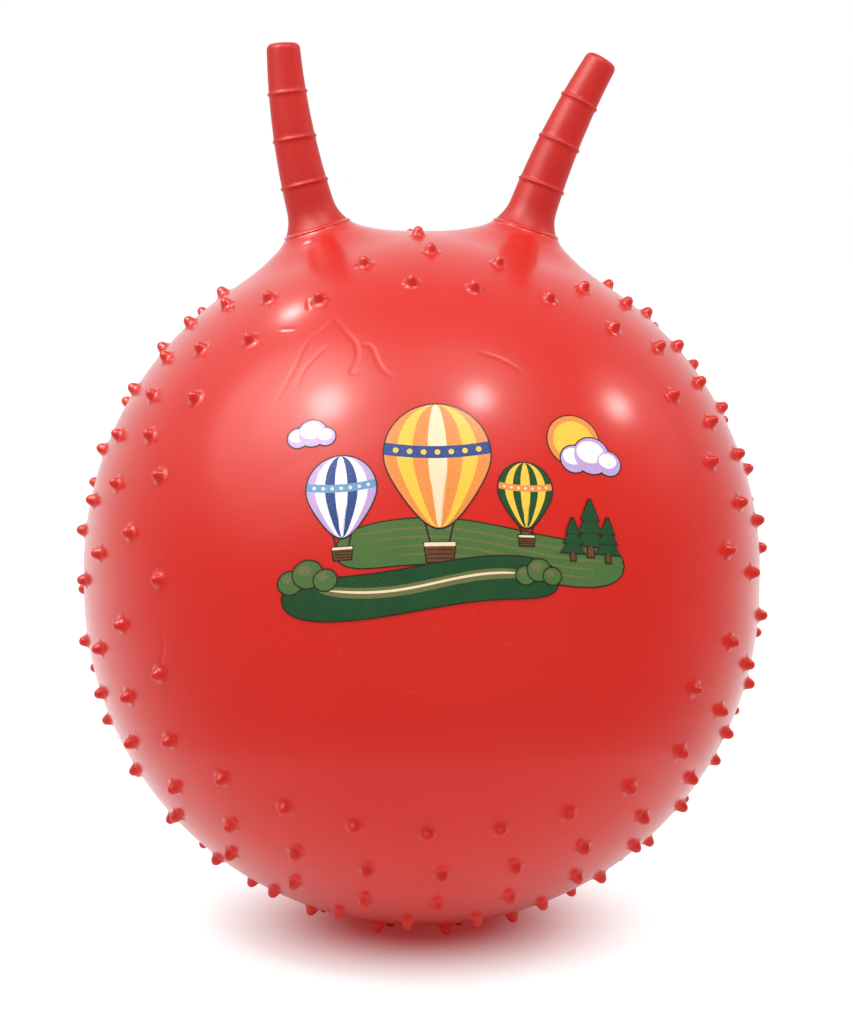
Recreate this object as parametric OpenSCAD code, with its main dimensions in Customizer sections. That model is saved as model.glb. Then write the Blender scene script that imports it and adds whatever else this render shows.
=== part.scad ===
// Hopper ball: a blown-up ball with moulded nubs, two ringed horn handles, a plugged valve and a printed film

/* [Ball] */
// Width of the ball without its nubs
ball_d = 450; // [380:5:560]
// Height of the straight belt between the two half balls
belt_h = 12; // [4:1:24]
// Thickness of the ball's wall
skin_t = 1.2; // [1:0.1:2.4]

/* [Mould] */
// Angle of the mould's axis above the horizontal, to the front
mould_tilt = 50.25; // [48:0.25:52]
// Width of the raised parting line
seam_w = 1.2; // [0.8:0.1:2.4]
// Height of the raised parting line
seam_h = 0.3; // [0.2:0.1:0.8]

/* [Nubs] */
// Height of a nub above the skin
nub_h = 7; // [6:0.5:9]
// Radius of a nub's round tip
nub_tip_r = 3.4; // [2.8:0.1:4]
// Diameter of a nub's foot
nub_foot_d = 11; // [9.5:0.5:13]
// How far the lowest nubs press flat on the floor
nub_squash = 0.5; // [0.3:0.1:0.8]
// Angle from the mould's axis to the first ring of nubs
ring_first = 9.75; // [8:0.25:11]
// Angle from one ring of nubs to the next
ring_pitch = 10.425; // [10.2:0.025:10.6]
// Angle kept free of nubs around each horn
horn_clear = 16; // [16:0.25:20]

/* [Print] */
// Half width of the bare window for the print, in degrees
window_half_w = 48.5; // [46:0.5:60]
// Half height of the bare window, in degrees
window_half_h = 43.5; // [38:0.5:48]
// Angle of the window's middle above the horizontal
window_el = 14; // [10:1:18]
// Angle of the print's middle above the horizontal
print_el = 20; // [14:1:24]
// Length of the printed film's foot
print_w = 216; // [180:2:240]
// Height of the printed film's foot
print_foot_h = 52; // [44:1:60]
// Thickness of the film
film_t = 0.15; // [0.1:0.05:0.4]

/* [Shoulders] */
// Angle from a horn's axis to the edge of its shoulder on the ball
shoulder_edge = 14; // [12.5:0.25:14]
// Slope of the shoulder, square to the horn
shoulder_slope = 24; // [22:0.5:26]
// Radius of the hollow between shoulder and horn
shoulder_r = 28; // [22:1:34]

/* [Horns] */
// Lean of each horn's foot away from the vertical
horn_splay = 17; // [16.5:0.5:20]
// Sideways set of both horns above the foot, to the right
horn_set = 8.5; // [4:0.5:12]
// Height of the foot ring above the ball's surface
foot_rise = 12; // [10:0.5:15]
// Diameter that the horn's taper has at the foot ring
horn_base_d = 33; // [30:0.5:38]
// Diameter of the horn at its tip
horn_tip_d = 21.5; // [18:0.5:24]
// Radius of the tip's round edge
horn_edge_r = 4; // [2:0.5:6]
// Thickness of the horn's wall
horn_t = 1.8; // [1.4:0.1:3]
// Distance from one raised ring to the next
horn_ring_pitch = 30; // [26:1:34]
// Length of the smooth end above the last ring
horn_end_l = 32; // [24:1:40]
// Radius of a raised ring
horn_ring_r = 1.1; // [0.8:0.1:1.6]
// Slit between a horn's soft foot and its grip
flex_gap = 0.2; // [0.1:0.1:0.5]

/* [Valve] */
// Angle of the valve above the horizontal, at the back
valve_el = 58; // [56:1:64]
// Diameter of the bore that takes the plug
valve_bore_d = 8.6; // [7:0.2:10]
// Diameter of the seat's collar through the skin
seat_d = 17; // [15:0.5:22]
// Diameter of the seat's flange under the skin
seat_flange_d = 34; // [28:1:42]
// Thickness of the flange
seat_flange_t = 2.5; // [1.5:0.5:4]
// Length of the collar inside the ball
seat_depth = 13; // [9:1:18]
// Height of the collar above the skin
seat_lip = 1; // [0.6:0.2:2]
// Diameter of the plug's head
plug_head_d = 14; // [12:0.5:15]
// Thickness of the plug's head
plug_head_t = 2; // [1.4:0.2:3]
// Length of the plug's nose past the collar
plug_nose_l = 4; // [3:0.5:6]
// Slack between the plug and its bore, on each side
plug_slack = 0.3; // [0.2:0.05:0.5]

/* [Hidden] */
$fn = 96;
// Slit between bonded faces
bond = 0.1;
// Nubs on each ring, from the front pole of the mould to the back
ring_nubs = [6, 11, 18, 21, 31, 29, 29, 32, 31, 30, 29, 26, 22, 18, 13, 7];
// Where each ring starts, from the front centre line, as a share of the step between its nubs
ring_start = [
    0.375, 0.5, 0.125, 0, 0.625, 0.25, 0.75, 0.75,
    0, 0, 0.625, 0.25, 0.5, 0.5, 0, 0.5
];
// Height of the small step where a moulded form starts on the ball, and how deep it roots
edge_step = 0.15;
root_h = 4;
// Angle from the valve's axis within which there are no nubs
valve_clear = 6;
// How square the corners of the bare window are
window_power = 2.5;
// Sides of the bent horn foot, and its rings along the bend
foot_sides = 36;
foot_steps = 8;

R = ball_d / 2;
nub_tip_z = nub_h - nub_tip_r;
// Where the straight flank of a nub meets its round tip
nub_lean = atan2(nub_tip_z, -nub_foot_d / 2) - asin(nub_tip_r / norm([nub_foot_d / 2, nub_tip_z]));
nub_touch = [nub_tip_r * sin(nub_lean), nub_tip_z - nub_tip_r * cos(nub_lean)];

// Directions of the nubs: rings about the mould's axis, less the window and the horns' surroundings
mould_n = [0, -cos(mould_tilt), sin(mould_tilt)];
mould_y = [0, sin(mould_tilt), cos(mould_tilt)];
function ring_dir(polar, turn) =
    sin(polar) * (cos(turn) * [1, 0, 0] + sin(turn) * mould_y) + cos(polar) * mould_n;
function ring_turn(k, i) = -90 + (i + ring_start[k]) * 360 / ring_nubs[k];
function in_window(d) =
    pow(abs(atan2(d[0], -d[1])) / window_half_w, window_power)
    + pow(abs(asin(d[2]) - window_el) / window_half_h, window_power) < 1;
function near_horn(d) = abs(d[0]) * sin(horn_splay) + d[2] * cos(horn_splay) > cos(horn_clear);
function near_valve(d) = d[1] * cos(valve_el) + d[2] * sin(valve_el) > cos(valve_clear);
nub_dirs = [
    for (k = [0 : len(ring_nubs) - 1], i = [0 : ring_nubs[k] - 1])
        let (d = ring_dir(ring_first + k * ring_pitch, ring_turn(k, i)))
            if (!in_window(d) && !near_horn(d) && !near_valve(d)) d
];

// Height of the ball's middle: the lowest nub tips press into the floor at z = 0
lowest = max([for (d = nub_dirs) -d[2]]);
ball_z = belt_h / 2 + (R + nub_tip_z) * lowest + nub_tip_r - nub_squash;

// Horn outline in its own frame, measured along the horn from the middle of the upper half ball
foot_z = R + foot_rise;
horn_l = 3 * horn_ring_pitch + horn_end_l;
taper = atan((horn_base_d - horn_tip_d) / 2 / horn_l);
taper_c = horn_base_d / 2 * cos(taper) + foot_z * sin(taper);
turn_det = sin(shoulder_slope) * sin(taper) - cos(shoulder_slope) * cos(taper);
function line_cross(a, b) = [
    (a * sin(taper) - b * cos(shoulder_slope)) / turn_det,
    (b * sin(shoulder_slope) - a * cos(taper)) / turn_det
];
function slope_c(inset) =
    (R - inset) * cos(shoulder_slope - shoulder_edge) + edge_step * cos(shoulder_slope);
function hollow_c(inset) = line_cross(slope_c(inset) + shoulder_r + inset, taper_c + shoulder_r);
function horn_r(z) =
    z < hollow_c(0)[1] - shoulder_r * sin(taper)
        ? hollow_c(0)[0] - sqrt(pow(shoulder_r, 2) - pow(hollow_c(0)[1] - z, 2))
        : (taper_c - z * sin(taper)) / cos(taper);

// Bend of the horn's foot, from the foot ring to the first ring of the grip
bend_l = horn_ring_pitch - horn_ring_r - flex_gap;
function bend_at(t) = [
    bend_l / (horn_set * PI / 180) * (1 - cos(horn_set * t)),
    0,
    foot_z + bend_l / (horn_set * PI / 180) * sin(horn_set * t)
];

valve_z = R + seat_lip;

// Places what is drawn about the middle of the upper half ball
module upper_half() { translate([0, 0, ball_z + belt_h / 2]) children(); }

// Places a horn's pieces: +Z runs along the horn
module on_horn(side) { upper_half() rotate([0, side * horn_splay, 0]) children(); }

// Places the valve's pieces: +Z points out of the ball
module on_valve() { upper_half() rotate([valve_el - 90, 0, 0]) children(); }

// Solid ball with its belt, grown or shrunk by a distance
module ball_solid(grow) {
    translate([0, 0, ball_z]) rotate_extrude() intersection() {
        union() {
            for (s = [-1, 1]) translate([0, s * belt_h / 2]) circle(R + grow);
            square([2 * (R + grow), belt_h], center = true);
        }
        translate([0, -ball_d]) square([ball_d, 2 * ball_d]);
    }
}

// Solid shoulder under a horn, up to a height along the horn, shrunk by a distance
module shoulder_solid(inset, top) {
    edge = (R - inset) * [sin(shoulder_edge), cos(shoulder_edge)];
    hollow = hollow_c(inset);
    hollow_r = shoulder_r + inset;
    on_slope = hollow - hollow_r * [sin(shoulder_slope), cos(shoulder_slope)];
    on_side = hollow - hollow_r * [cos(taper), sin(taper)];
    rotate_extrude() intersection() {
        difference() {
            polygon([
                [0, edge[1] - root_h], edge - [0, root_h], edge + [0, edge_step],
                on_slope, on_side, [0, on_side[1]]
            ]);
            translate(hollow) circle(hollow_r);
        }
        square([R, top]);
    }
}

// One nub with a flat foot, a straight flank and a round tip
module nub() {
    rotate_extrude() {
        polygon([[0, 0], [nub_foot_d / 2, 0], nub_touch, [0, nub_touch[1]]]);
        intersection() {
            translate([0, nub_tip_z]) circle(nub_tip_r);
            translate([0, nub_touch[1]]) square(2 * nub_tip_r);
        }
    }
}

// Raised line where the two halves of the mould met
module seam() {
    intersection() {
        ball_solid(seam_h);
        translate([0, 0, ball_z]) rotate([90 - mould_tilt, 0, 0])
            cube([3 * R, 3 * R, seam_w], center = true);
    }
}

// Raised ring around a horn at a height along it
module horn_ring(z) {
    rotate_extrude() translate([horn_r(z), z]) circle(horn_ring_r);
}

module ball_skin() {
    color("red") difference() {
        union() {
            ball_solid(0);
            seam();
            for (side = [-1, 1]) on_horn(side) {
                shoulder_solid(0, foot_z);
                horn_ring(foot_z - horn_ring_r);
            }
        }
        union() {
            ball_solid(-skin_t);
            for (side = [-1, 1]) on_horn(side) shoulder_solid(skin_t, 2 * R);
        }
        on_valve() cylinder(d = seat_d + 2 * bond, h = 2 * R);
    }
}

// Nubs all over the ball, the lowest ones pressed flat on the floor
module ball_nubs() {
    color("crimson") difference() {
        for (d = nub_dirs)
            translate([0, 0, ball_z + sign(d[2]) * belt_h / 2])
                rotate([0, acos(d[2]), atan2(d[1], d[0])]) translate([0, 0, R]) nub();
        translate([0, 0, -R]) cube([ball_d, ball_d, 2 * R], center = true);
    }
}

// Soft lower end of a horn: a tube swept along the bend, outer wall up and inner wall down
module horn_foot(side) {
    walls = [
        for (k = [0 : 2 * foot_steps + 1])
            let (outer = k <= foot_steps, t = (outer ? k : 2 * foot_steps + 1 - k) / foot_steps)
                [t, horn_r(foot_z + t * bend_l) - (outer ? 0 : horn_t)]
    ];
    points = [
        for (w = walls, i = [0 : foot_sides - 1])
            let (a = i * 360 / foot_sides, x = w[1] * cos(a))
                bend_at(w[0]) + [x * cos(horn_set * w[0]), w[1] * sin(a), -x * sin(horn_set * w[0])]
    ];
    n = foot_sides;
    faces = [
        for (k = [0 : len(walls) - 1], i = [0 : n - 1])
            let (a = k * n, b = (k + 1) % len(walls) * n, j = (i + 1) % n)
                each [[a + i, b + j, a + j], [a + i, b + i, b + j]]
    ];
    on_horn(side) polyhedron(points, faces, convexity = 6);
}

module left_horn_foot() { color("firebrick") horn_foot(-1); }
module right_horn_foot() { color("firebrick") horn_foot(1); }

// Half outline of the grip: its taper and the round edge of the tip, shrunk by a distance
module grip_outline(inset) {
    low = horn_ring_pitch - horn_ring_r;
    edge = horn_edge_r;
    tip = horn_tip_d / 2 - inset;
    top = horn_l - inset;
    base = horn_r(foot_z + low) - inset;
    polygon([[0, low], [base, low], [tip, top - edge], [0, top - edge]]);
    translate([0, top - edge]) square([tip - edge, edge]);
    intersection() {
        translate([tip - edge, top - edge]) circle(edge);
        translate([0, top - edge]) square([tip, edge]);
    }
}

// Ringed grip: a hollow taper with a closed tip
module horn_grip(side) {
    low = horn_ring_pitch - horn_ring_r;
    on_horn(side) translate(bend_at(1)) rotate([0, horn_set, 0])
        translate([0, 0, flex_gap - low]) difference() {
            union() {
                rotate_extrude() grip_outline(0);
                for (k = [1 : 3]) translate([0, 0, -foot_z]) horn_ring(foot_z + k * horn_ring_pitch);
            }
            rotate_extrude() grip_outline(horn_t);
        }
}

module left_horn_grip() { color("firebrick") horn_grip(-1); }
module right_horn_grip() { color("firebrick") horn_grip(1); }

// Bush bonded under the skin, with a collar through it and a bore for the plug
module valve_seat() {
    flange_top = sqrt(pow(R - skin_t - bond, 2) - pow(seat_flange_d / 2, 2));
    color("tomato") on_valve() difference() {
        union() {
            translate([0, 0, flange_top - seat_flange_t]) cylinder(d = seat_flange_d, h = seat_flange_t);
            translate([0, 0, R - seat_depth]) cylinder(d = seat_d, h = seat_depth + seat_lip);
        }
        cylinder(d = valve_bore_d, h = 2 * R);
    }
}

// Plug with a flat head and a rounded nose
module valve_plug() {
    stem_r = valve_bore_d / 2 - plug_slack;
    nose = valve_z - seat_lip - seat_depth - plug_nose_l;
    color("whitesmoke") on_valve() rotate_extrude() {
        translate([0, nose + stem_r]) square([stem_r, valve_z - nose - stem_r]);
        intersection() {
            translate([0, nose + stem_r]) circle(stem_r);
            translate([0, nose]) square([stem_r, stem_r]);
        }
        translate([0, valve_z]) square([plug_head_d / 2 - plug_head_t / 2, plug_head_t]);
        intersection() {
            translate([plug_head_d / 2 - plug_head_t / 2, valve_z + plug_head_t / 2]) circle(plug_head_t / 2);
            translate([0, valve_z]) square([plug_head_d, plug_head_t]);
        }
    }
}

// Outline of the printed film: a long foot with three round lobes above it
module print_outline() {
    foot_r = print_foot_h / 2;
    for (s = [-1, 1]) translate([s * (print_w / 2 - foot_r), -print_foot_h]) translate([0, foot_r]) circle(foot_r);
    translate([-print_w / 2 + foot_r, -print_foot_h]) square([print_w - print_foot_h, print_foot_h]);
    for (lobe = [[-0.31, 0.17, 0.16], [-0.01, 0.22, 0.2], [0.3, 0.15, 0.16]])
        translate([lobe[0], lobe[1] / 2] * print_w) circle(lobe[2] * print_w);
}

module print_film() {
    color("seagreen") intersection() {
        difference() {
            ball_solid(bond + film_t);
            ball_solid(bond);
        }
        translate([0, 0, ball_z]) rotate([90 - print_el, 0, 0]) linear_extrude(height = 2 * R) print_outline();
    }
}

ball_skin();
ball_nubs();
left_horn_foot();
left_horn_grip();
right_horn_foot();
right_horn_grip();
valve_seat();
valve_plug();
print_film();
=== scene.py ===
import math

import bmesh
import bpy
from mathutils import Matrix, Vector


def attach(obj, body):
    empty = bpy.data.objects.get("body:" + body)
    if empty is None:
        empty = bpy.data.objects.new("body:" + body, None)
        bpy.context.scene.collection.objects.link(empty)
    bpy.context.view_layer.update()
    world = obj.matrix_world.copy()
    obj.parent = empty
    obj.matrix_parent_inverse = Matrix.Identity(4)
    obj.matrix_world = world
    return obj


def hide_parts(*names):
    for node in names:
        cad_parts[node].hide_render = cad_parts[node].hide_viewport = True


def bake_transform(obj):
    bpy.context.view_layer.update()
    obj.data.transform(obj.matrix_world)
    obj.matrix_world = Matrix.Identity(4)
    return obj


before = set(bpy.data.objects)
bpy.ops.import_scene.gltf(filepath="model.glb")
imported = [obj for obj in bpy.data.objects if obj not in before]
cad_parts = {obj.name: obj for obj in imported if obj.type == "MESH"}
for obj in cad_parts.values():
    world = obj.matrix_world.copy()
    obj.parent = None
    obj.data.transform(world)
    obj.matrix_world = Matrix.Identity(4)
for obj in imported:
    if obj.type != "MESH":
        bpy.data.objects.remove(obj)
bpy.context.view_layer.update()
mm = 0.001

ball = {
    "radius": 225 * mm,
    "middle": 235.431 * mm,  # height of the ball's middle above the floor
    "belt": 12 * mm,
    "subdivisions": 7,
    "mouldTilt": 50.25,  # lean of the mould's axis, which the rings of nubs and the parting line follow
    "valve": 58,  # height angle of the valve, at the back
    "valveHole": 8.3 * mm,
    "cutZone": 3 * mm, "shortEdge": 1.2 * mm,  # short edges beside the cuts are merged
    "onCut": 0.1 * mm, "onRim": 1 * mm,  # how near a point has to be to lie on the belt's cut or a horn's rim
}
upperMiddle = Vector((0, 0, ball["middle"] + ball["belt"] / 2))


def turnY(degrees):
    return Matrix.Rotation(math.radians(degrees), 4, "Y")


def facing(azimuth, elevation):
    a, e = math.radians(azimuth), math.radians(elevation)
    return Vector((math.sin(a) * math.cos(e), -math.cos(a) * math.cos(e), math.sin(e)))


def placePiece(name, bm, materials):
    mesh = bpy.data.meshes.new(name)
    bm.to_mesh(mesh)
    bm.free()
    mesh.polygons.foreach_set("use_smooth", [True] * len(mesh.polygons))
    piece = bpy.data.objects.new(name, mesh)
    bpy.context.collection.objects.link(piece)
    for material in materials:
        mesh.materials.append(material)
    return piece


def drawRows(bm, rows, sides, place):
    # rings of the given heights and radii, each set where place puts its height
    verts = bmesh.ops.create_circle(bm, segments=sides, radius=1)["verts"]
    edges = list(dict.fromkeys(e for v in verts for e in v.link_edges))  # each once, in a fixed order
    unit = {v: v.co.copy() for v in verts}
    for step, (height, radius) in enumerate(rows):
        if step:
            made = bmesh.ops.extrude_edge_only(bm, edges=edges)["geom"]
            fresh = [v for v in made if isinstance(v, bmesh.types.BMVert)]
            edges = [e for e in made if isinstance(e, bmesh.types.BMEdge) and e.is_boundary]
            unit = {v: unit[e.other_vert(v)] for v in fresh for e in v.link_edges if e.other_vert(v) in unit}
        spot = place(height)
        for v, flat in unit.items():
            v.co = spot @ (flat * radius)
    bmesh.ops.poke(bm, faces=bmesh.ops.holes_fill(bm, edges=edges, sides=0)["faces"])


class Wire:
    def __init__(self, tree, socket):
        self.tree, self.socket = tree, socket

    def add(self, kind, settings=None, values=None, out=0):
        node = self.tree.nodes.new(kind)
        for key, value in (settings or {}).items():
            setattr(node, key, value)
        for key, value in (values or {}).items():
            if isinstance(value, Wire):
                self.tree.links.new(value.socket, node.inputs[key])
            else:
                node.inputs[key].default_value = value
        return Wire(self.tree, node.outputs[out])

    def maths(self, operation, first, second=0.0):
        return self.add("ShaderNodeMath", {"operation": operation}, {0: first, 1: second})

    def __add__(self, other):
        return self.maths("ADD", self, other)

    def __radd__(self, other):
        return self.maths("ADD", other, self)

    def __sub__(self, other):
        return self.maths("SUBTRACT", self, other)

    def __rsub__(self, other):
        return self.maths("SUBTRACT", other, self)

    def __mul__(self, other):
        return self.maths("MULTIPLY", self, other)

    def __rmul__(self, other):
        return self.maths("MULTIPLY", other, self)

    def __truediv__(self, other):
        return self.maths("DIVIDE", self, other)

    def __rtruediv__(self, other):
        return self.maths("DIVIDE", other, self)

    def __abs__(self):
        return self.maths("ABSOLUTE", self)

    def above(self, other):
        return self.maths("MAXIMUM", self, other)

    def vector(self, operation, other, out=0):
        return self.add("ShaderNodeVectorMath", {"operation": operation}, {0: self, 1: tuple(other)}, out)

    def dot(self, direction):
        return self.vector("DOT_PRODUCT", direction, "Value")

    def noise(self, scale, detail, roughness=0.5):
        return self.add("ShaderNodeTexNoise", None,
                        {"Vector": self, "Scale": scale, "Detail": detail, "Roughness": roughness})

    def rise(self, low, high, least=0.0, kind="SMOOTHSTEP"):
        values = {0: self, 1: low, 2: high, 3: least}
        return self.add("ShaderNodeMapRange", {"interpolation_type": kind}, values)

    def blend(self, low, high):
        return self.add("ShaderNodeMix", {"data_type": "RGBA"}, {"Factor": self, 6: low, 7: high}, 2)

    def bump(self, strength, distance):
        return self.add("ShaderNodeBump", None, {"Strength": strength, "Distance": distance, "Height": self})


def startMaterial(name, **numbers):
    material = bpy.data.materials.new(name)
    material.use_nodes = True
    tree = material.node_tree
    shader = tree.nodes["Principled BSDF"]
    for key, value in numbers.items():
        shader.inputs[key.replace("_", " ")].default_value = value
    spot = Wire(tree, tree.nodes.new("ShaderNodeTexCoord").outputs["Object"])
    return material, shader, spot


def feed(shader, **wires):
    for key, wire in wires.items():
        wire.tree.links.new(wire.socket, shader.inputs[key.replace("_", " ")])


vinyl = {
    "red": (0.57, 0.0125, 0.0045, 1), "redDeep": (0.52, 0.0090, 0.0032, 1),
    "seamRed": (0.40, 0.005, 0.004, 1), "dust": (0.66, 0.10, 0.08, 1), "seamInk": 0.4, "dustInk": 0.4,
    "specular": 0.15, "roughness": 0.37, "coat": 0.75, "coatRoughness": 0.20, "coatIor": 1.5,
    "seam": 97.6, "seamHalf": 0.7 * mm,  # angle of the parting line from the mould's axis
    "cloud": (7.0, 3.0), "grain": (900.0, 2.0), "peel": (160.0, 2.0),  # scale and detail of each noise
    "swell": (16.0, 1.0), "speck": (420.0, 1.0), "speckFrom": 0.75, "speckTo": 0.8,
    "swellRelief": 0.9, "peelRelief": 0.035, "grainRelief": 0.012, "seamRelief": 0.35,
    "bump": 0.35, "bumpHeight": 1 * mm, "cloudRough": 0.12, "grainRough": 0.08, "swellCoat": 0.3,
}


def makeGlossSkin():
    material, shader, spot = startMaterial(
        "glossSkin", Specular_IOR_Level=vinyl["specular"], Coat_IOR=vinyl["coatIor"],
        Coat_Roughness=vinyl["coatRoughness"])
    cloud, grain, peel, swell = (spot.noise(*vinyl[name]) for name in ("cloud", "grain", "peel", "swell"))
    tilt = math.radians(ball["mouldTilt"])
    level = spot.vector("SUBTRACT", (0, 0, ball["middle"]))
    seamPlane = ball["radius"] * math.cos(math.radians(vinyl["seam"]))
    along = level.dot((0, -math.cos(tilt), math.sin(tilt))) - seamPlane
    seam = (1 - abs(along) / vinyl["seamHalf"]).above(0.0)
    height = swell * vinyl["swellRelief"] + peel * vinyl["peelRelief"]
    height = height + grain * vinyl["grainRelief"] + seam * vinyl["seamRelief"]
    speck = spot.noise(*vinyl["speck"]).rise(vinyl["speckFrom"], vinyl["speckTo"], kind="LINEAR")
    colour = (seam * vinyl["seamInk"]).blend(cloud.blend(vinyl["redDeep"], vinyl["red"]), vinyl["seamRed"])
    uneven = (cloud - 0.5) * vinyl["cloudRough"] + (grain - 0.5) * vinyl["grainRough"]
    feed(shader, Base_Color=(speck * vinyl["dustInk"]).blend(colour, vinyl["dust"]),
         Roughness=vinyl["roughness"] + uneven,
         Coat_Weight=vinyl["coat"] + (swell - 0.5) * vinyl["swellCoat"],
         Normal=height.bump(vinyl["bump"], vinyl["bumpHeight"]))
    return material


grip = {
    "dark": (0.42, 0.011, 0.008, 1), "light": (0.49, 0.016, 0.011, 1), "ior": 1.48, "specular": 0.22,
    "cloud": (26.0, 3.0), "grain": (1100.0, 3.0), "scuff": (90.0, 4.0, 0.65),  # scale, detail and roughness
    "grainRelief": 0.5, "bump": 0.3, "bumpHeight": 0.3 * mm,
    "roughness": 0.42, "scuffRough": 0.25, "grainRough": 0.08,
}


def makeHornSkin():
    material, shader, spot = startMaterial("hornSkin", IOR=grip["ior"], Specular_IOR_Level=grip["specular"])
    cloud, grain, scuff = (spot.noise(*grip[name]) for name in ("cloud", "grain", "scuff"))
    uneven = (scuff - 0.5) * grip["scuffRough"] + (grain - 0.5) * grip["grainRough"]
    feed(shader, Base_Color=cloud.blend(grip["dark"], grip["light"]), Roughness=grip["roughness"] + uneven,
         Normal=(grain * grip["grainRelief"] + scuff).bump(grip["bump"], grip["bumpHeight"]))
    return material


glossSkin = makeGlossSkin()
hornSkin = makeHornSkin()
print("materials of the moulding made")

horns = {
    "splay": 17, "footHeight": 237 * mm, "length": 122 * mm,
    "baseRadius": 16.5 * mm, "tipRadius": 10.75 * mm, "edge": 4 * mm, "edgeSteps": 6,
    "crown": [(0.25 * mm, 0.4), (0.35 * mm, 0.15)],  # height over the edge, and share of the radius there
    "rings": 3, "ringPitch": 30 * mm, "ringHeight": 1.0 * mm, "ringHalf": 1.5 * mm, "sides": 48,
    "ringShape": [(-1.3, 0), (-0.8, 0.28), (-0.4, 0.85), (0, 1), (0.4, 0.85), (0.8, 0.22), (1.3, 0)],
    "sunk": (-0.8 * mm, 0.2 * mm),  # where the horn starts inside the foot's ring
    "stations": [
        0.6, 1.6, 3, 5, 7.5, 10, 13, 16.5, 20, 24, 27, 33, 40, 48, 56, 64, 72, 80, 86, 94, 101, 108, 114,
    ],
    "shoulderEdge": 16.4, "shoulderBend": 0.62, "shoulderSteps": 14,
    "slopeEdge": 14, "slope": 24, "slopeLift": 0.15 * mm, "hollow": 28 * mm, "hollowSteps": 8,
    "footRing": [(0.5, 0.35), (0.9, 0.85), (1.3, 1.0), (1.9, 0.9), (2.4, 0.4), (2.6, -0.2)],
    "footRingStart": 1.6 * mm,  # the ring's heights count from this far under the foot
    "lean": {-1: (-17.3, 0.118), 1: (18.0, 0.105)},  # lean at the foot and its change per mm
    "leanSteps": 60, "bendFrom": 1 * mm, "bendTo": 28 * mm,  # the soft stretch at the foot
}
taper = math.atan((horns["baseRadius"] - horns["tipRadius"]) / horns["length"])
slope = math.radians(horns["slope"])


def hollowMiddle():  # middle of the round that joins the shoulder's slope and the tapered horn
    edge = math.radians(horns["slopeEdge"])
    a = ball["radius"] * math.cos(slope - edge) + horns["slopeLift"] * math.cos(slope) + horns["hollow"]
    b = horns["baseRadius"] * math.cos(taper) + horns["footHeight"] * math.sin(taper) + horns["hollow"]
    det = math.sin(slope) * math.sin(taper) - math.cos(slope) * math.cos(taper)
    out = (a * math.sin(taper) - b * math.cos(slope)) / det
    up = (b * math.sin(slope) - a * math.cos(taper)) / det
    return out, up


def hornRadius(height):  # height along the horn's axis, from the middle of the upper half ball
    middle = hollowMiddle()
    if height < middle[1] - horns["hollow"] * math.sin(taper):
        return middle[0] - math.sqrt(max(horns["hollow"] ** 2 - (middle[1] - height) ** 2, 0))
    return horns["baseRadius"] - (height - horns["footHeight"]) * math.tan(taper)


def shoulderProfile():  # radius and height along the horn's axis, from the ball up to the ring at the foot
    edge = math.radians(horns["shoulderEdge"])
    r = ball["radius"]
    start = Vector((r * math.sin(edge), r * math.cos(edge)))
    middle = hollowMiddle()
    end = Vector(middle) - Vector((math.sin(slope), math.cos(slope))) * horns["hollow"]
    reach = (start - end).length
    bend = start + Vector((-math.cos(edge), math.sin(edge))) * reach * horns["shoulderBend"]
    points = []
    for k in range(horns["shoulderSteps"] + 1):
        t = k / horns["shoulderSteps"]
        points.append(start * (1 - t) ** 2 + bend * 2 * t * (1 - t) + end * t * t)
    top = horns["footHeight"] - horns["footRingStart"]
    for k in range(1, horns["hollowSteps"] + 1):
        height = end[1] + (top - end[1]) * k / horns["hollowSteps"]
        points.append(Vector((hornRadius(height), height)))
    for step, lift in horns["footRing"]:
        height = top + step * mm
        points.append(Vector((hornRadius(height) + lift * mm, height)))
    return points


wrinkles = {
    "paths": [  # azimuth and elevation along each soft crease
        [(-26.6, 50.4), (-29.1, 47.0), (-30.3, 43.2), (-30.3, 39.3), (-31.7, 33.8)],
        [(-25.0, 43.9), (-27.1, 41.3), (-28.4, 39.0), (-28.4, 36.2)],
        [(-26.6, 50.4), (-21.2, 46.7), (-18.6, 45.0), (-17.2, 42.0), (-18.5, 38.6), (-16.0, 39.4)],
        [(-17.2, 44.6), (-14.9, 44.4), (-12.8, 40.3), (-10.0, 38.3)],
        [(7.9, 43.0), (12.2, 41.6), (15.4, 39.4)],
        [(-38.6, 47.4), (-35.0, 47.5)], [(-36.6, 54.4), (-34.3, 52.1)], [(-1.1, 29.7), (0.3, 28.1)],
        [(-48.3, -1.3), (-48.5, -4.5), (-50.1, -6.7)], [(-28.5, -7.6), (-25.5, -9.6)],
        [(148.0, 34.0), (156.0, 29.0), (160.0, 21.0)], [(-150.0, -12.0), (-138.0, -10.0), (-130.0, -5.0)],
    ],
    "half": 2.6 * mm, "depth": 0.2 * mm, "rounds": 2, "corner": 0.25, "cuts": (9 * mm, 6 * mm, 3.2 * mm),
    "search": 0.94,  # least cosine between a point and a crease's start for the crease to be looked at
    "fade": (0.12, 0.76),  # where on a half wave of depth a crease starts, and how much of the wave it takes
}


def roundPath(path):  # the path with its corners cut
    for _ in range(wrinkles["rounds"]):
        cut = [path[0]]
        for a, b in zip(path, path[1:]):
            cut += [a.lerp(b, wrinkles["corner"]), a.lerp(b, 1 - wrinkles["corner"])]
        path = cut + [path[-1]]
    return path


def wrinkleNear(paths, way):  # the gap from the nearest crease, and how far along the crease that is
    best = (1.0, 0.0)
    for path in paths:
        if way.dot(path[0]) < wrinkles["search"]:
            continue
        for k in range(len(path) - 1):
            step = path[k + 1] - path[k]
            t = min(max((way - path[k]).dot(step) / step.length_squared, 0), 1)
            gap = (way - path[k] - step * t).length * ball["radius"]
            best = min(best, (gap, (k + t) / (len(path) - 1)))
    return best


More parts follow.
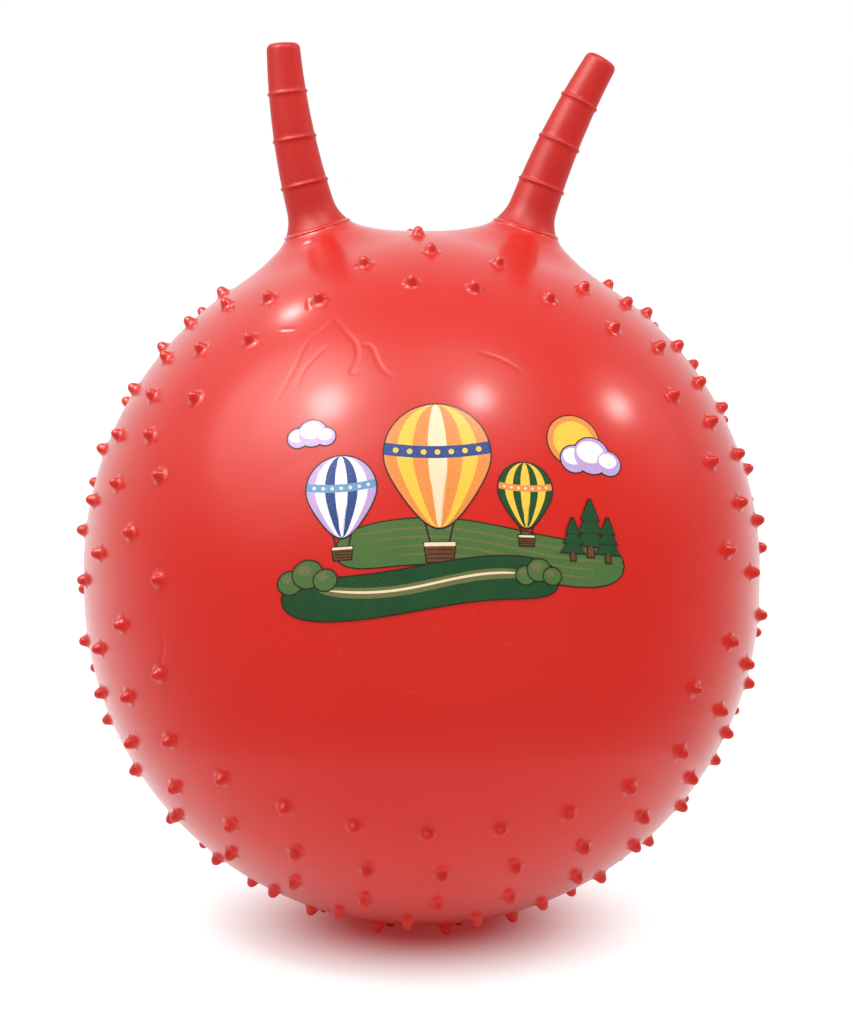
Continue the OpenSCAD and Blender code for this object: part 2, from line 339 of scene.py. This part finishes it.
def pressWrinkles(bm):
    paths = [roundPath([facing(*spot) for spot in path]) for path in wrinkles["paths"]]
    for reach in wrinkles["cuts"]:
        near = [f for f in bm.faces if wrinkleNear(paths, f.calc_center_median().normalized())[0] < reach]
        edges = list(dict.fromkeys(e for f in near for e in f.edges))
        bmesh.ops.subdivide_edges(bm, edges=edges, cuts=1, use_grid_fill=True)
        bmesh.ops.triangulate(bm, faces=[f for f in bm.faces if len(f.verts) > 3])
        for v in bm.verts:
            v.co = v.co.normalized() * ball["radius"]
    start, share = wrinkles["fade"]
    for v in bm.verts:
        way = v.co.normalized()
        gap, along = wrinkleNear(paths, way)
        if gap < wrinkles["half"]:
            dip = (1 - (gap / wrinkles["half"]) ** 2) ** 2 * math.sin(math.pi * (start + share * along))
            v.co -= way * wrinkles["depth"] * dip


def cutBall(bm, point, normal, clear=False):
    geom = bm.verts[:] + bm.edges[:] + bm.faces[:]
    made = bmesh.ops.bisect_plane(bm, geom=geom, plane_co=point, plane_no=normal, clear_outer=clear)
    return [v for v in made["geom_cut"] if isinstance(v, bmesh.types.BMVert)]


def drawShoulder(bm, axis, profile):
    foot = profile[0][1]
    loop = [e for e in bm.edges if e.is_boundary and abs(e.verts[0].co.dot(axis) - foot) < ball["onRim"]]
    verts = {v for e in loop for v in e.verts}
    for step, (radius, height) in enumerate(profile):
        if step:
            made = bmesh.ops.extrude_edge_only(bm, edges=loop)["geom"]
            loop = [e for e in made if isinstance(e, bmesh.types.BMEdge) and e.is_boundary]
            verts = {v for v in made if isinstance(v, bmesh.types.BMVert)}
        for v in verts:
            out = v.co - axis * v.co.dot(axis)
            v.co = axis * height + out.normalized() * radius


def makeBallSkin():
    r = ball["radius"]
    bm = bmesh.new()
    bmesh.ops.create_icosphere(bm, subdivisions=ball["subdivisions"], radius=r)
    cutBall(bm, (0, 0, 0), (0, 0, 1))
    beside = [v for v in bm.verts if abs(v.co.z) < ball["cutZone"]]
    bmesh.ops.remove_doubles(bm, verts=beside, dist=ball["shortEdge"])
    for v in bm.verts:
        v.co = v.co.normalized() * r
    pressWrinkles(bm)
    way = facing(180, ball["valve"])
    cutBall(bm, way * math.sqrt(r * r - ball["valveHole"] ** 2), way, clear=True)
    profile = shoulderProfile()
    axes = [turnY(side * horns["splay"]) @ Vector((0, 0, 1)) for side in (-1, 1)]
    for axis in axes:
        rim = cutBall(bm, axis * profile[0][1], axis, clear=True)
        bmesh.ops.remove_doubles(bm, verts=rim, dist=ball["shortEdge"])
    for axis in axes:
        drawShoulder(bm, axis, profile)
    for v in bm.verts:  # the halves are drawn apart by the belt
        apart = 0 if abs(v.co.z) <= ball["onCut"] else math.copysign(ball["belt"] / 2, v.co.z)
        v.co.z += ball["middle"] + apart
    bmesh.ops.recalc_face_normals(bm, faces=bm.faces)
    return placePiece("ballSkin", bm, [glossSkin])


nubs = {
    "perRing": [6, 11, 18, 21, 31, 29, 29, 32, 31, 30, 29, 26, 22, 18, 13, 7],
    "starts": [0.375, 0.5, 0.125, 0, 0.625, 0.25, 0.75, 0.75, 0, 0, 0.625, 0.25, 0.5, 0.5, 0, 0.5],
    "firstRing": 9.75, "ringPitch": 10.425, "hornClear": 16, "valveClear": 6,
    "window": (48.5, 43.5, 14, 2.5),  # half width, half height, elevation and squareness of the bare front
    "profile": [(7.4, -0.12), (5.2, 0.4), (4.15, 1.55), (3.4, 3.4), (2.5, 5.05), (1.25, 5.9), (0.35, 6.15)],
    "sides": 10,
    "standing": 1.14, "standingSide": -0.93,  # the nubs that carry the ball are drawn out to the floor
}


def nubDirections():
    tilt = math.radians(ball["mouldTilt"])
    pole = Vector((0, -math.cos(tilt), math.sin(tilt)))
    rise = Vector((0, math.sin(tilt), math.cos(tilt)))
    splay = math.radians(horns["splay"])
    halfWide, halfHigh, elevation, power = nubs["window"]
    valve = facing(180, ball["valve"])
    for ring, (count, start) in enumerate(zip(nubs["perRing"], nubs["starts"])):
        polar = math.radians(nubs["firstRing"] + ring * nubs["ringPitch"])
        for k in range(count):
            turn = math.radians(-90 + (k + start) * 360 / count)
            flat = Vector((math.cos(turn), 0, 0)) + rise * math.sin(turn)
            d = flat * math.sin(polar) + pole * math.cos(polar)
            wide = abs(math.degrees(math.atan2(d.x, -d.y))) / halfWide
            high = abs(math.degrees(math.asin(d.z)) - elevation) / halfHigh
            horn = Vector((math.copysign(math.sin(splay), d.x), 0, math.cos(splay)))
            if wide ** power + high ** power < 1 or d.angle(horn) < math.radians(nubs["hornClear"]):
                continue
            if d.angle(valve) > math.radians(nubs["valveClear"]):
                yield d


def makeNubs():
    one = bmesh.new()
    rows = [(height * mm, radius * mm) for radius, height in nubs["profile"]]
    drawRows(one, rows, nubs["sides"], lambda height: Matrix.Translation((0, 0, height)))
    bmesh.ops.recalc_face_normals(one, faces=one.faces)
    shape = bpy.data.meshes.new("oneNub")
    one.to_mesh(shape)
    one.free()
    bm = bmesh.new()
    for d in nubDirections():
        first = len(bm.verts)
        bm.from_mesh(shape)
        bm.verts.ensure_lookup_table()
        middle = Vector((0, 0, ball["middle"] + math.copysign(ball["belt"] / 2, d.z)))
        turn = d.to_track_quat("Z", "Y").to_matrix().to_4x4()
        place = Matrix.Translation(middle + d * ball["radius"]) @ turn
        if d.z < nubs["standingSide"]:
            place = place @ Matrix.Diagonal((1, 1, nubs["standing"], 1))
        bmesh.ops.transform(bm, matrix=place, verts=bm.verts[first:])
    for v in bm.verts:
        v.co.z = max(v.co.z, 0)  # the lowest tips press flat on the floor
    bpy.data.meshes.remove(shape)
    return placePiece("ballNubs", bm, [glossSkin])


ballSkin = makeBallSkin()
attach(ballSkin, "ball")
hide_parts("ball_skin")
ballNubs = makeNubs()
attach(ballNubs, "ball")
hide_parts("ball_nubs")
print("ball and nubs made")


def hornStations():  # distance from the foot, and lift over the tapered horn
    half, high = horns["ringHalf"], horns["ringHeight"]
    rows = [horns["sunk"]]
    rows += [(station * mm, 0) for station in horns["stations"]]
    for k in range(1, horns["rings"] + 1):
        ring = horns["ringPitch"] * k
        rows += [(ring + half * out, high * lift) for out, lift in horns["ringShape"]]
    return sorted(rows)


def hornFrame(side, along):
    start, change = horns["lean"][side]
    spot = Vector((0, 0, 0))
    steps = horns["leanSteps"]
    for k in range(steps):
        lean = math.radians(start + change * along / mm * (k + 0.5) / steps)
        spot += Vector((math.sin(lean), 0, math.cos(lean))) * along / steps
    foot = turnY(side * horns["splay"]) @ Vector((0, 0, horns["footHeight"]))
    return Matrix.Translation(upperMiddle + foot + spot) @ turnY(start + change * along / mm)


def makeHorn(side, name):
    foot, length, edge = horns["footHeight"], horns["length"], horns["edge"]
    rows = [(s, hornRadius(foot + s) + lift) for s, lift in hornStations() if s < length - edge]
    tip = hornRadius(foot + length - edge)
    for k in range(horns["edgeSteps"] + 1):
        a = math.radians(90 * k / horns["edgeSteps"])
        rows.append((length - edge + edge * math.sin(a), tip - edge + edge * math.cos(a)))
    rows += [(length + lift, tip * share) for lift, share in horns["crown"]]
    bm = bmesh.new()
    drawRows(bm, rows, horns["sides"], lambda along: hornFrame(side, along))
    bmesh.ops.recalc_face_normals(bm, faces=bm.faces)
    return placePiece(name, bm, [hornSkin])


for side, name in ((-1, "left"), (1, "right")):
    horn = makeHorn(side, name + "Horn")
    bendFrom = hornFrame(side, horns["bendFrom"]).translation
    bendTo = hornFrame(side, horns["bendTo"]).translation
    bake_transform(horn)
    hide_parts(name + "_horn_foot", name + "_horn_grip")
print("horns made")

picture = {
    "elevation": 20, "lift": 0.12 * mm, "layer": 0.005 * mm,
    "rim": 0.8, "cell": 1.25, "tiny": 0.01 * mm,  # width of the dark rims and of the mesh's cells, in mm
    "inks": {
        "line": ((0.022, 0.014, 0.010), (0.045, 0.028, 0.020)),
        "leaf": ((0.010, 0.050, 0.016), (0.022, 0.090, 0.030)),
        "grass": ((0.050, 0.120, 0.028), (0.090, 0.170, 0.045)),
        "olive": ((0.110, 0.120, 0.040), (0.160, 0.165, 0.060)),
        "yellow": ((0.720, 0.420, 0.030), (0.800, 0.520, 0.060)),
        "orange": ((0.640, 0.190, 0.030), (0.740, 0.270, 0.060)),
        "cream": ((0.700, 0.540, 0.330), (0.780, 0.650, 0.450)),
        "lilac": ((0.380, 0.240, 0.500), (0.500, 0.360, 0.610)),
        "navy": ((0.018, 0.040, 0.170), (0.030, 0.075, 0.260)),
        "blue": ((0.080, 0.220, 0.420), (0.130, 0.320, 0.540)),
        "brown": ((0.100, 0.036, 0.012), (0.170, 0.070, 0.028)),
        "white": ((0.700, 0.660, 0.700), (0.800, 0.770, 0.800)),
    },
    "ior": 1.5, "grain": (700.0, 3.0, 0.6), "wash": (55.0, 3.0),  # scale, detail and roughness
    "grainTone": 0.55, "washTone": 0.6, "toneDrop": 0.1, "bump": 0.15, "bumpHeight": 0.1 * mm,
    "roughness": 0.26, "grainRough": 0.2,
}


def makeInk(name, low, high):
    material, shader, spot = startMaterial("ink" + name.capitalize(), IOR=picture["ior"])
    grain = spot.noise(*picture["grain"])
    wash = spot.noise(*picture["wash"])
    tone = grain * picture["grainTone"] + wash * picture["washTone"] - picture["toneDrop"]
    feed(shader, Base_Color=tone.blend((*low, 1), (*high, 1)),
         Roughness=picture["roughness"] + (grain - 0.5) * picture["grainRough"],
         Normal=grain.bump(picture["bump"], picture["bumpHeight"]))
    return material


def onBall(u, v, lift):  # the picture's plane, seen square on, laid on the skin
    tilt = math.radians(picture["elevation"])
    out = Vector((0, -math.cos(tilt), math.sin(tilt)))
    rise = Vector((0, math.sin(tilt), math.cos(tilt)))
    flat = Vector((u * mm, 0, -ball["belt"] / 2)) + rise * v * mm
    near = flat.dot(out)
    far = math.sqrt(near * near - flat.length_squared + (ball["radius"] + lift) ** 2)
    return upperMiddle + flat + out * (far - near)


def roundOff(x, y):  # a square's point moved into a circle
    return x * math.sqrt(1 - y * y / 2), y * math.sqrt(1 - x * x / 2)


# each shape takes a point of a square from -1 to 1 to a point in mm on the picture, and grow widens the shape
def disc(cu, cv, wide, high=None):
    def shape(x, y, grow):
        a, b = roundOff(x, y)
        return cu + (wide + grow) * a, cv + ((high or wide) + grow) * b
    return shape


def drop(cu, cv, r, wide, waist=0.18, mouth=0.42):  # a balloon's envelope, drawn in to its mouth
    def shape(x, y, grow):
        a, b = roundOff(x, y)
        low = max(-b, 0)
        u = (r * wide + grow) * a * (1 - waist * low * low)
        v = (r + grow) * b * (1 + mouth * low * low)
        return cu + u, cv + v
    return shape


def sash(cu, cv, r, height, half, sag=0.10):  # a band around an envelope
    def shape(x, y, grow):
        v = height + half * y
        return cu + x * math.sqrt(max(r * r - v * v, 0)), cv + v - sag * r * (1 - x * x)
    return shape


def bar(cu, cv, halfWide, halfHigh, turn=0.0, top=1.0):  # top is the upper side's share of the width
    def shape(x, y, grow):
        a = (halfWide * (1 + (top - 1) * (y + 1) / 2) + grow) * x
        b = (halfHigh + grow) * y
        c, s = math.cos(math.radians(turn)), math.sin(math.radians(turn))
        return cu + a * c - b * s, cv + a * s + b * c
    return shape


def strip(start, end, middle, half, wave, pace, phase, rise, blunt=8):  # a long wavy field with round ends
    def shape(x, y, grow):
        u = (start + end) / 2 + x * ((end - start) / 2 + grow)
        v = middle + wave * math.sin(u / pace + phase) + rise * u
        return u, v + y * (half + grow) * math.sqrt(max(1 - x ** blunt, 0))
    return shape


balloons = {
    "layout": [  # place, radius, inks of the panels from the outside in, ink of the sash and of its dots
        (-62, 8, 20, ("lilac", "white", "navy", "white"), "blue", "cream"),
        (-6, 27, 31, ("orange", "yellow", "orange", "cream"), "navy", "yellow"),
        (45, 6, 16, ("leaf", "yellow", "leaf", "yellow"), "orange", "cream"),
    ],
    "panels": (1.0, 0.76, 0.47, 0.18),  # shares of the radius, as is what follows but for angles and counts
    "ropeOut": 0.22, "ropeDrop": 1.52, "ropeReach": 0.22, "ropeLean": 14, "sashRise": 0.13, "sashHalf": 0.12,
    "dotsEachSide": 3, "dotPitch": 0.26, "dot": 0.055, "dotRise": 0.03, "dotSag": 0.10,
    "basketDrop": 1.88, "basketWide": 0.24, "basketHigh": 0.17, "basketFlare": 1.18,
    "brimRise": 0.15, "brimWide": 0.29, "brimHigh": 0.035,
    "weaves": 3, "weaveTop": 0.05, "weavePitch": 0.08,
    "ropeHalf": 0.5, "weaveHalf": 0.3,  # in mm
}


def balloon(cu, cv, r, inks, sashInk, dotInk):  # an envelope in upright panels, a sash, ropes and a basket
    b = balloons
    for side in (-1, 1):
        rope = bar(cu + side * r * b["ropeOut"], cv - r * b["ropeDrop"], b["ropeHalf"], r * b["ropeReach"],
                   side * -b["ropeLean"])
        yield "line", rope, False
    for step, wide in enumerate(b["panels"]):
        yield inks[step], drop(cu, cv, r, wide), step == 0
    yield sashInk, sash(cu, cv, r, r * b["sashRise"], r * b["sashHalf"]), False
    for k in range(-b["dotsEachSide"], b["dotsEachSide"] + 1):
        rise = r * b["dotRise"] + r * b["dotSag"] * (k * b["dotPitch"]) ** 2
        yield dotInk, disc(cu + k * r * b["dotPitch"], cv + rise, r * b["dot"]), False
    foot = cv - r * b["basketDrop"]
    yield "brown", bar(cu, foot, r * b["basketWide"], r * b["basketHigh"], 0, b["basketFlare"]), True
    yield "cream", bar(cu, foot + r * b["brimRise"], r * b["brimWide"], r * b["brimHigh"]), False
    for k in range(b["weaves"]):
        weave = foot + r * (b["weaveTop"] - b["weavePitch"] * k)
        yield "line", bar(cu, weave, r * b["basketWide"], b["weaveHalf"]), False


clouds = {
    "layout": [(87, 28, 15), (-78, 43, 11)],  # place and size
    "puffs": [(-0.75, -0.1, 0.55), (0, 0.1, 0.75), (0.7, -0.15, 0.5)],  # place and radius, in sizes
    "cover": 0.98, "lightOut": 0.08, "lightRise": 0.2, "lightWide": 0.76, "lightHigh": 0.62,
}


def cloud(cu, cv, size):
    c = clouds
    puffs = [(cu + u * size, cv + v * size, r * size) for u, v, r in c["puffs"]]
    for u, v, r in puffs:
        yield "lilac", disc(u, v, r), True
    for u, v, r in puffs:
        yield "lilac", disc(u, v, r * c["cover"]), False
        light = disc(u - r * c["lightOut"], v + r * c["lightRise"], r * c["lightWide"], r * c["lightHigh"])
        yield "white", light, False


trees = {
    "layout": [(84, -16, 1.1), (95, -22, 0.85), (73, -23, 0.8)],  # place and scale
    "trunk": (-10, 1.6, 4),  # height of its middle, half width and half height
    "tiers": [(-3, 9.5), (4, 7.3), (11, 5.1)],  # middle and half width of each
    "tierHalf": 5.4, "point": 0.04,
}


def tree(cu, cv, size):
    height, halfWide, halfHigh = trees["trunk"]
    yield "brown", bar(cu, cv + height * size, halfWide * size, halfHigh * size), True
    for height, halfWide in trees["tiers"]:
        tier = bar(cu, cv + height * size, halfWide * size, trees["tierHalf"] * size, 0, trees["point"])
        yield "leaf", tier, True


bushes = {
    "layout": [(-82, -44, 1.0), (52, -44, 0.8)],  # place and scale
    "heaps": [(-10, 0, 7), (0, 4, 8.5), (10, 0, 6.5)], "flat": 0.9,  # place and radius of each heap
    "lightOut": 0.2, "lightRise": 0.3, "lightWide": 0.5, "lightHigh": 0.35,
}


def bush(cu, cv, size):
    b = bushes
    for u, v, r in b["heaps"]:
        yield "grass", disc(cu + u * size, cv + v * size, r * size, r * size * b["flat"]), True
        light = disc(cu + (u - r * b["lightOut"]) * size, cv + (v + r * b["lightRise"]) * size,
                     r * size * b["lightWide"], r * size * b["lightHigh"])
        yield "olive", light, False


fields = {
    "sun": (76, 38, 16), "sunDisc": 12.5,  # place and radius
    "far": (-66, 105, -29, 13), "farWave": (4, 27, 1.9, -0.04),  # ends, middle and half height, then the wave
    "furrows": 4, "furrow": (-52, 96, -21.5, 0.7), "furrowSteps": (7, -4, -5),
    "near": (-97, 64, -50, 12), "nearWave": (4, 30, 0.4, 0.02),
    "bank": (-76, 46, -48, 3.0), "path": (-70, 40, -47.6, 0.7), "pathWave": (4.5, 24, 0.2, 0.01),
}


def pictureShapes():  # ink, shape, and whether it has a dark rim
    yield "orange", disc(*fields["sun"]), True
    yield "yellow", disc(*fields["sun"][:2], fields["sunDisc"]), False
    for place in clouds["layout"]:
        yield from cloud(*place)
    yield "grass", strip(*fields["far"], *fields["farWave"]), True
    start, end, middle, half = fields["furrow"]
    startStep, endStep, middleStep = fields["furrowSteps"]
    for k in range(fields["furrows"]):
        ends = (start + startStep * k, end + endStep * k)
        yield "olive", strip(*ends, middle + middleStep * k, half, *fields["farWave"]), False
    for one in balloons["layout"]:
        yield from balloon(*one)
    yield "leaf", strip(*fields["near"], *fields["nearWave"]), True
    yield "olive", strip(*fields["bank"], *fields["pathWave"]), False
    yield "cream", strip(*fields["path"], *fields["pathWave"]), False
    for place in trees["layout"]:
        yield from tree(*place)
    for place in bushes["layout"]:
        yield from bush(*place)


def makePicture():
    bm = bmesh.new()
    names = list(picture["inks"])
    for step, (ink, shape, rimmed) in enumerate(pictureShapes()):
        ends = [math.dist(shape(-1, 0, 0), shape(1, 0, 0)), math.dist(shape(0, -1, 0), shape(0, 1, 0))]
        across, up = (max(math.ceil(span / picture["cell"]), 2) for span in ends)
        layers = [(ink, 0.0, step)]
        if rimmed:
            layers.insert(0, ("line", picture["rim"], step - 0.5))
        for colour, grow, depth in layers:
            made = bmesh.ops.create_grid(bm, x_segments=across, y_segments=up, size=1)["verts"]
            for v in made:
                v.co = onBall(*shape(v.co.x, v.co.y, grow), picture["lift"] + depth * picture["layer"])
            for f in {f for v in made for f in v.link_faces}:
                f.material_index = names.index(colour)
    bmesh.ops.dissolve_degenerate(bm, dist=picture["tiny"], edges=bm.edges)
    return placePiece("picture", bm, [makeInk(name, *tones) for name, tones in picture["inks"].items()])


film = makePicture()
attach(film, "ball")
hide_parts("print_film")
print("picture made")

plug = {
    "seat": 226 * mm, "head": 7 * mm, "thick": 2 * mm, "stem": 4 * mm, "length": 17 * mm, "sides": 40,
    "nose": [(0, 0.3), (0.6 * mm, 0.72), (2 * mm, 0.96), (4 * mm, 1)],  # height, and share of the stem
    "neck": [(-0.3 * mm, 0), (0.0, 0.4 * mm)],  # height, and swell of the stem
    "under": [(0.05 * mm, 0.8 * mm), (0.25 * mm, 0.25 * mm)],  # height, and inset from the head's rim
    "over": [(0.25 * mm, 0.25 * mm), (0, 0.9 * mm), (0, 1.7 * mm), (0.5 * mm, 2.2 * mm)],  # depth, and inset
    "dish": [(0.5 * mm, 1.4 * mm), (0.7 * mm, 0.9 * mm)],  # depth, and radius
    "dull": (0.62, 0.61, 0.58, 1), "clean": (0.74, 0.73, 0.71, 1), "ior": 1.48,
    "grain": (600.0, 3.0), "dust": (60.0, 4.0, 0.6),  # scale, detail and roughness
    "roughness": 0.38, "grainRough": 0.2, "bump": 0.2, "bumpHeight": 0.1 * mm,
}


def makePlugPlastic():
    material, shader, spot = startMaterial("plugPlastic", IOR=plug["ior"])
    grain = spot.noise(*plug["grain"])
    feed(shader, Base_Color=spot.noise(*plug["dust"]).blend(plug["dull"], plug["clean"]),
         Roughness=plug["roughness"] + (grain - 0.5) * plug["grainRough"],
         Normal=grain.bump(plug["bump"], plug["bumpHeight"]))
    return material


def makePlug():
    r, t, stem = plug["head"], plug["thick"], plug["stem"]
    rows = [(-plug["length"] + height, stem * share) for height, share in plug["nose"]]
    rows += [(height, stem + swell) for height, swell in plug["neck"]]
    rows += [(height, r - inset) for height, inset in plug["under"]]
    rows.append((t / 2, r))
    rows += [(t - depth, r - inset) for depth, inset in plug["over"]]
    rows += [(t - depth, radius) for depth, radius in plug["dish"]]
    way = facing(180, ball["valve"])
    turn = way.to_track_quat("Z", "Y").to_matrix().to_4x4()
    bm = bmesh.new()
    drawRows(bm, rows, plug["sides"],
             lambda height: Matrix.Translation(upperMiddle + way * (plug["seat"] + height)) @ turn)
    bmesh.ops.recalc_face_normals(bm, faces=bm.faces)
    return placePiece("valvePlug", bm, [makePlugPlastic()])


valvePlug = makePlug()
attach(valvePlug, "plug")
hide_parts("valve_plug")
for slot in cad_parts["valve_seat"].material_slots:
    slot.material = glossSkin
print("valve made")

floor = {
    "size": 30.0, "roughness": 0.9, "tint": (0.33, 0.33, 0.33, 1), "paintedBounceTint": (0.45, 0.12, 0.12, 1),
    "near": (0.20, 0.02, 0.02, 1), "far": (0.82, 0.82, 0.82, 1),  # glow, with a painted red bounce and shadow of the ball beside it
    "reach": (0.04, 0.165),
}


def makeFloor():
    bm = bmesh.new()
    bmesh.ops.create_grid(bm, x_segments=2, y_segments=2, size=floor["size"])
    material, shader, spot = startMaterial(
        "paleFloor", Roughness=floor["roughness"], Specular_IOR_Level=0, Emission_Strength=1)
    away = spot.vector("LENGTH", (0, 0, 0), "Value").rise(*floor["reach"])
    # near the ball the floor's colour and glow turn deep red: painted red bounce and shadow
    feed(shader, Base_Color=away.blend(floor["paintedBounceTint"], floor["tint"]),
         Emission_Color=away.blend(floor["near"], floor["far"]))
    placePiece("floor", bm, [material])


view = {
    "azimuth": -4.25, "elevation": 8.5, "distance": 1.575, "lens": 82.3, "sensor": 36,
    "aimRight": 0.0031, "aimUp": 0.0436,
}


def makeCamera():
    data = bpy.data.cameras.new("camera")
    data.lens, data.sensor_width = view["lens"], view["sensor"]
    camera = bpy.data.objects.new("camera", data)
    bpy.context.collection.objects.link(camera)
    back = facing(view["azimuth"], view["elevation"])
    right = Vector((0, 0, 1)).cross(back).normalized()
    up = back.cross(right)
    middle = Vector((0, 0, ball["middle"]))
    camera.location = middle + back * view["distance"]
    aim = middle + right * view["aimRight"] + up * view["aimUp"]
    camera.rotation_euler = (aim - camera.location).to_track_quat("-Z", "Y").to_euler()
    bpy.context.scene.camera = camera
    return camera, back


studio = {
    "strength": 1.0, "lampReach": 2.0, "lampTint": (1, 0.96, 0.92),
    "lamps": [  # azimuth and elevation on the ball of each lamp's highlight, then the lamp's size and power
        ((-21.4, 33.6), 0.20, 12), ((6.0, 34.7), 0.14, 6.5), ((34.1, 32.5), 0.12, 4.8),
        ((-38.5, 51.3), 0.14, 2.2), ((-21.4, 33.6), 0.8, 3), ((6.0, 34.7), 0.9, 6),
    ],
    "sheens": [  # wide panels, told in the same way, that only the gloss shows
        ((-27.0, 30.0), 2.2, 80), ((-24.0, 33.0), 1.3, 45), ((4.0, 35.5), 1.5, 32), ((37.0, 29.0), 1.2, 6),
    ],
}


def makeLights(camera):
    middle = Vector((0, 0, ball["middle"]))
    for k, (place, size, power) in enumerate(studio["lamps"] + studio["sheens"]):
        data = bpy.data.lights.new("softbox%d" % k, "AREA")
        data.shape = "DISK"
        data.size, data.energy, data.color = size, power, studio["lampTint"]
        lamp = bpy.data.objects.new("softbox%d" % k, data)
        lamp.visible_diffuse = k < len(studio["lamps"])
        out = facing(*place)
        spot = middle + out * ball["radius"]
        way = -(camera.location - spot).normalized().reflect(out)
        lamp.location = spot + way * studio["lampReach"]
        lamp.rotation_euler = (-way).to_track_quat("-Z", "Y").to_euler()
        bpy.context.collection.objects.link(lamp)
    world = bpy.data.worlds.new("studio")
    bpy.context.scene.world = world
    world.use_nodes = True
    world.node_tree.nodes["Background"].inputs["Color"].default_value = (1, 1, 1, 1)
    world.node_tree.nodes["Background"].inputs["Strength"].default_value = studio["strength"]


darkRoom = {
    "radius": 0.42, "subdivisions": 4,
    "reach": (-0.75, 0.8), "margin": 0.1,  # where the shell fades in, from back to front, in radii
    "turn": 8, "foot": 0.06, "footShade": 0.55, "sheet": 0.5 * mm, "sheetSides": 48,
}


def makeDarkRoom(back):
    # a black shell and sheet that paint a dark reflection, standing for the unlit room in front of the ball,
    # which only the gloss of the pieces shows
    ahead = Matrix.Rotation(math.radians(darkRoom["turn"]), 3, "Z") @ Vector((back.x, back.y, 0)).normalized()
    bm = bmesh.new()
    bmesh.ops.create_icosphere(bm, subdivisions=darkRoom["subdivisions"], radius=darkRoom["radius"])
    behind = darkRoom["reach"][0] - darkRoom["margin"]
    away = [v for v in bm.verts if v.co.normalized().dot(ahead) < behind]
    bmesh.ops.delete(bm, geom=away, context="VERTS")
    material, shader, spot = startMaterial(
        "darkRoom", Base_Color=(0, 0, 0, 1), Roughness=1, Specular_IOR_Level=0)
    low, high = (reach * darkRoom["radius"] for reach in darkRoom["reach"])
    front = spot.dot(ahead).rise(low, high)
    foot = spot.dot((0, 0, 1)).rise(0.0, darkRoom["foot"], darkRoom["footShade"])
    feed(shader, Alpha=front * foot)
    for v in bm.verts:
        v.co.z += ball["middle"]
    bmesh.ops.create_circle(bm, cap_ends=True, segments=darkRoom["sheetSides"], radius=darkRoom["radius"],
                            matrix=Matrix.Translation((0, 0, darkRoom["sheet"])))
    room = placePiece("darkRoom", bm, [material])
    room.visible_camera = room.visible_diffuse = room.visible_transmission = room.visible_shadow = False


makeFloor()
camera, back = makeCamera()
makeLights(camera)
makeDarkRoom(back)
bpy.context.scene.view_settings.view_transform = "Standard"
print("floor, camera and lights made")
